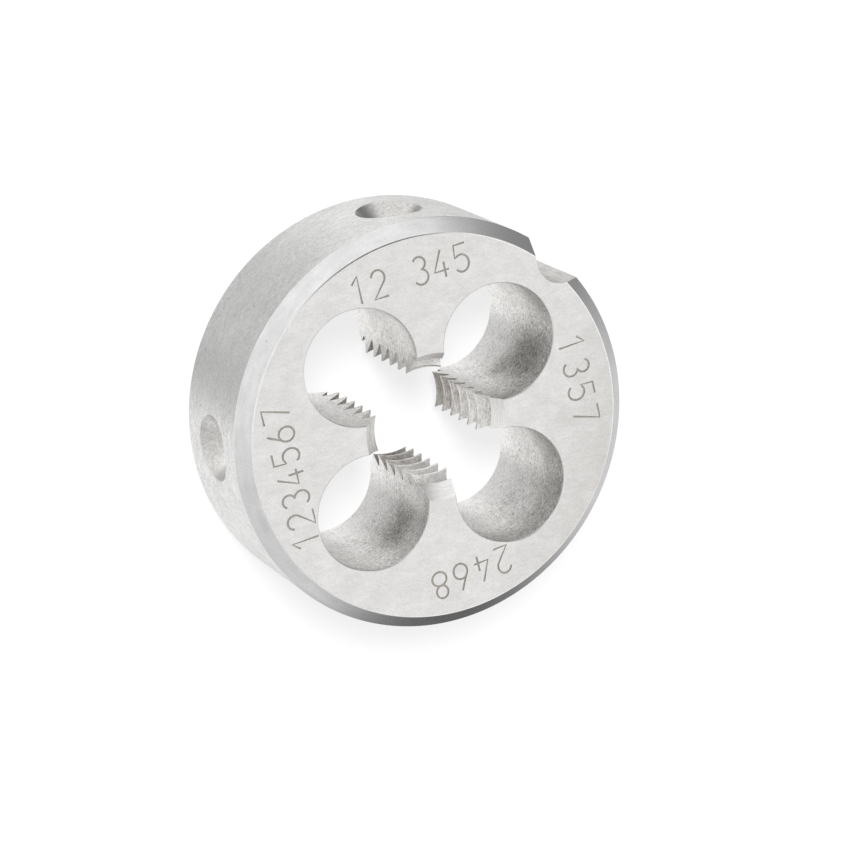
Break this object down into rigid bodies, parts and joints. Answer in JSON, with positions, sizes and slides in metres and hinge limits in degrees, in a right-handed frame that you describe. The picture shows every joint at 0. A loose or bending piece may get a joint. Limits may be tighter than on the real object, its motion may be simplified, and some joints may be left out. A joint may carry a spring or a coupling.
{
  "type": "round threading die",
  "caption": "Round steel die with a threaded centre, chip holes, a rim groove and screw dimples; cuts an outside thread on a rod.",
  "frame": {"origin": "centre of the back face, on the thread's axis", "axes": "+Z along the thread's axis, from the back face to the marked face; the rim groove and one chip hole lie half way between +X and +Y"},
  "size_m": [0.03, 0.03, 0.011],
  "materials": {
    "tool_steel": "ground, satin"
  },
  "bodies": {
    "root": {"die_body": "tool_steel"}
  },
  "joints": []
}
